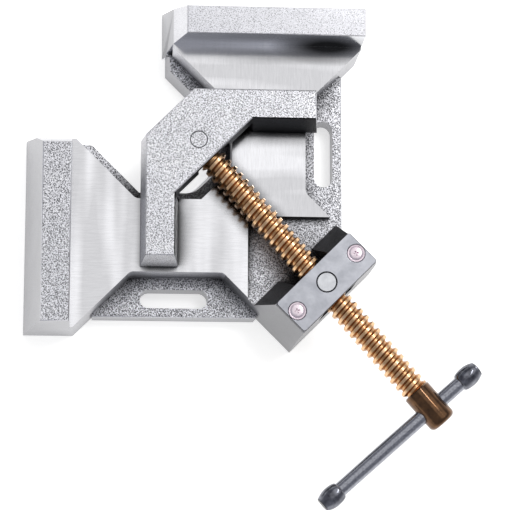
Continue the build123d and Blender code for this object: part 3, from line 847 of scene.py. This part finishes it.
def build_screws():
    """The two cover screws: countersunk, with a grooved ring, a domed centre and a cross recess."""
    for node in ("cover_screw_left", "cover_screw_right"):
        middle = centre_of(node)
        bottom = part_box(node)[0].z
        outline = [
            (bottom, 0),
            (bottom, SCREW_SHANK_RADIUS),
            (PLATE_TOP - SCREW_NECK, SCREW_SHANK_RADIUS),
            (PLATE_TOP - SCREW_EDGE, SCREW_RADIUS - 0.1 * MM),
            (PLATE_TOP - SCREW_RIM, SCREW_RADIUS - 0.3 * MM),
            (PLATE_TOP - SCREW_RIM, SCREW_GROOVE_RADIUS + 0.1 * MM),
            (PLATE_TOP - SCREW_GROOVE, SCREW_GROOVE_RADIUS),
            (PLATE_TOP - SCREW_GROOVE, SCREW_GROOVE_RADIUS - 0.25 * MM),
            (PLATE_TOP - SCREW_EDGE, SCREW_CROWN_RADIUS),
            (PLATE_TOP - 0.1 * MM, SCREW_CROWN_RADIUS - 1.1 * MM),
            (PLATE_TOP - SCREW_DOME, 0),
        ]
        name = node.replace("cover_", "plate_")
        screw = new_object(name, lathe(outline, SCREW_STEPS), upright_at(middle))
        for turn in (RECESS_TURN, RECESS_TURN + 90):
            cut(screw, recess_blade(middle, turn))
        screw.data.materials.append(SCREW)
        shade(screw)
        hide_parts(node)
        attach(screw, "frame")


build_screws()


def build_pin_end():
    """The upper jaw pin, its end painted over with the casting and set in a ring of painted shade."""
    low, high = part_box("jaw_pin_upper")
    middle = centre_of("jaw_pin_upper")
    radius = (high.x - low.x) / 2
    outline = [
        (low.z, 0),
        (low.z, radius),
        (high.z - 1.5 * PIN_CHAMFER, radius),
        (high.z - 1.5 * PIN_CHAMFER, radius - PIN_CHAMFER),
        (high.z, radius - 1.3 * PIN_CHAMFER),
        (high.z, 0),
    ]
    pin = new_object("pin_end_upper", lathe(outline), upright_at(middle))
    pin.data.materials.append(PIN_RING_SHADE)
    pin.data.materials.append(JAW_PAINT)
    for face in pin.data.polygons:
        face.material_index = int(face.normal.z > SQUARE and face.center.z > high.z - 0.1 * PIN_CHAMFER)
    shade(pin)
    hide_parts("jaw_pin_upper")
    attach(pin, "jaw")


build_pin_end()


# CAD nodes that keep their own shape, with the finish that suits them

PLAIN_NODES = {
    "spindle_nut": NUT_STEEL,
    "jaw_pin_lower": PIN_END,
    "thrust_washer": PLAIN,
    "thrust_block": PLAIN,
    "lock_pin_left": PLAIN,
    "lock_pin_right": PLAIN,
}
for node, finish in PLAIN_NODES.items():
    NODES[node].data.materials.clear()
    NODES[node].data.materials.append(finish)


# Floor, world, lamps and camera

# Floor: its grey, the glow that makes it white to the camera, and its gap below the part
FLOOR_SIZE = 12.0
FLOOR_COLOUR = 0.8
FLOOR_LIFT = 0.6
FLOOR_GAP = 0.1 * MM

# Even light that matt surfaces get from all round
WORLD_FILL = 0.6

# Lamps: how far off they are, where they stand and how bright, and the strip's turn along the spindle
LAMP_DISTANCE = 1.6
KEY_DIRECTION = (0.36, 0.4, 1.0)
KEY_SIZE = (0.8, 0.8)
KEY_POWER = 12
STRIP_DIRECTION = (0.46, 0.46, 1.0)
STRIP_SIZE = (0.09, 0.8)
STRIP_POWER = 3.4
STRIP_TURN = math.radians(45)

# What gloss reflects: a white horizon, a dim ceiling and one large softbox
CEILING_STARTS = (0.12, 0.4)
CEILING_LIGHT = (0.4, 0.41, 0.45)
SOFTBOX = Vector((0.2, 0.42, 0.88)).normalized()
SOFTBOX_EDGES = [math.cos(math.radians(angle)) for angle in (37, 29)]
SOFTBOX_WHITE = (0.97, 0.97, 0.98)


def seen_directly(tree):
    """1 for camera, glossy and transmission rays, else 0."""
    path = add(tree, "ShaderNodeLightPath")
    seen = combined(tree, "MAXIMUM", path.outputs["Is Camera Ray"], path.outputs["Is Glossy Ray"])
    return combined(tree, "MAXIMUM", seen, path.outputs["Is Transmission Ray"])


def build_floor():
    """A white floor that keeps the part's shadow and can be seen through from below."""
    bm = bmesh.new()
    bmesh.ops.create_grid(bm, x_segments=1, y_segments=1, size=FLOOR_SIZE / 2)
    floor = new_object("floor", bm, Matrix.Translation((0, 0, -FLOOR_GAP)))
    material, tree, bsdf = new_material("floor_white")
    bsdf.inputs["Base Color"].default_value = (FLOOR_COLOUR, FLOOR_COLOUR, FLOOR_COLOUR, 1)
    bsdf.inputs["Roughness"].default_value = 0.9
    bsdf.inputs["Specular IOR Level"].default_value = 0.0
    bsdf.inputs["Emission Color"].default_value = (1, 1, 1, 1)
    lift = combined(tree, "MULTIPLY", seen_directly(tree), FLOOR_LIFT)
    tree.links.new(lift, bsdf.inputs["Emission Strength"])
    sides = add(tree, "ShaderNodeNewGeometry")
    clear = add(tree, "ShaderNodeBsdfTransparent")
    two_sided = add(tree, "ShaderNodeMixShader")
    tree.links.new(sides.outputs["Backfacing"], two_sided.inputs[0])
    tree.links.new(bsdf.outputs[0], two_sided.inputs[1])
    tree.links.new(clear.outputs[0], two_sided.inputs[2])
    tree.links.new(two_sided.outputs[0], tree.nodes["Material Output"].inputs["Surface"])
    floor.data.materials.append(material)


def build_world():
    """An even fill for matt surfaces, and for gloss a studio: horizon, dim ceiling and softbox."""
    world = bpy.data.worlds.new("studio")
    bpy.context.scene.world = world
    world.use_nodes = True
    world.cycles.sampling_method = "NONE"
    tree = world.node_tree
    path = add(tree, "ShaderNodeLightPath")
    facing = add(tree, "ShaderNodeTexCoord").outputs["Generated"]
    direction = add(tree, "ShaderNodeSeparateXYZ", vector=facing)
    room = mixed(tree, eased(tree, direction.outputs["Z"], *CEILING_STARTS, 0, 1), (1, 1, 1), CEILING_LIGHT)
    towards = add(tree, "ShaderNodeVectorMath", operation="DOT_PRODUCT")
    tree.links.new(facing, towards.inputs[0])
    towards.inputs[1].default_value = SOFTBOX
    studio = mixed(tree, eased(tree, towards.outputs["Value"], *SOFTBOX_EDGES, 0, 1), room, SOFTBOX_WHITE)
    direct = combined(tree, "MAXIMUM", path.outputs["Is Camera Ray"], path.outputs["Is Transmission Ray"])
    soft = mixed(tree, path.outputs["Is Glossy Ray"], (WORLD_FILL,) * 3, studio)
    shown = mixed(tree, direct, soft, (1, 1, 1))
    tree.links.new(shown, tree.nodes["Background"].inputs["Color"])


def add_lamp(name, direction, sizes, power, in_gloss=True, turn=0):
    """A soft lamp that looks at the clamp, seen or unseen by gloss."""
    lamp = bpy.data.lights.new(name, "AREA")
    lamp.shape = "RECTANGLE"
    lamp.size, lamp.size_y = sizes
    lamp.energy = power
    thing = bpy.data.objects.new(name, lamp)
    away = Vector(direction).normalized()
    thing.location = VIEW_AIM + away * LAMP_DISTANCE
    facing = away.to_track_quat("Z", "Y").to_matrix()
    thing.rotation_euler = (facing @ Matrix.Rotation(turn, 3, "Z")).to_euler()
    thing.visible_glossy = in_gloss
    bpy.context.scene.collection.objects.link(thing)


def build_camera():
    """The camera at the photo's angle."""
    data = bpy.data.cameras.new("camera")
    data.lens = VIEW_LENS
    camera = bpy.data.objects.new("camera", data)
    turn = Euler(VIEW_ANGLES)
    camera.rotation_euler = turn
    camera.location = VIEW_AIM + turn.to_matrix() @ Vector((0, 0, VIEW_DISTANCE))
    bpy.context.scene.collection.objects.link(camera)
    bpy.context.scene.camera = camera


build_floor()
build_world()
add_lamp("key", KEY_DIRECTION, KEY_SIZE, KEY_POWER, in_gloss=False)
add_lamp("strip", STRIP_DIRECTION, STRIP_SIZE, STRIP_POWER, turn=STRIP_TURN)
build_camera()
bpy.context.scene.view_settings.view_transform = "Standard"
